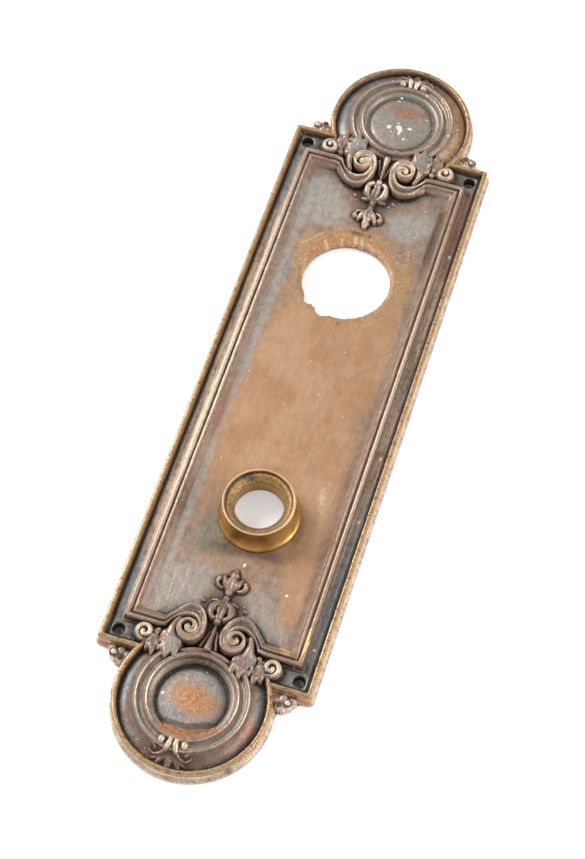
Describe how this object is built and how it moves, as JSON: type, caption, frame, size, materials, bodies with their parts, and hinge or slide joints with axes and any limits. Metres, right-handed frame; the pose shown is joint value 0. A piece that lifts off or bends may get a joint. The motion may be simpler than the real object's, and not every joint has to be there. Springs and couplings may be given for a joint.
{
  "type": "door lock backplate",
  "caption": "Long cast door backplate with disc ends, a moulded frame with scroll volutes, a turned collar for the knob and a hole for the lock cylinder.",
  "frame": {"origin": "centre of the plate's outline at the back plane that meets the door", "axes": "+Y along the plate towards the end with the lock cylinder's hole, +X across it, +Z out of the ornamented face"},
  "size_m": [0.0714, 0.279, 0.013],
  "materials": {
    "aged_bronze": "aged, brown and grey patina with worn rims",
    "yellow_brass": "satin, turned"
  },
  "bodies": {
    "root": {"backplate": "aged_bronze", "knob_collar": "yellow_brass"}
  },
  "joints": []
}
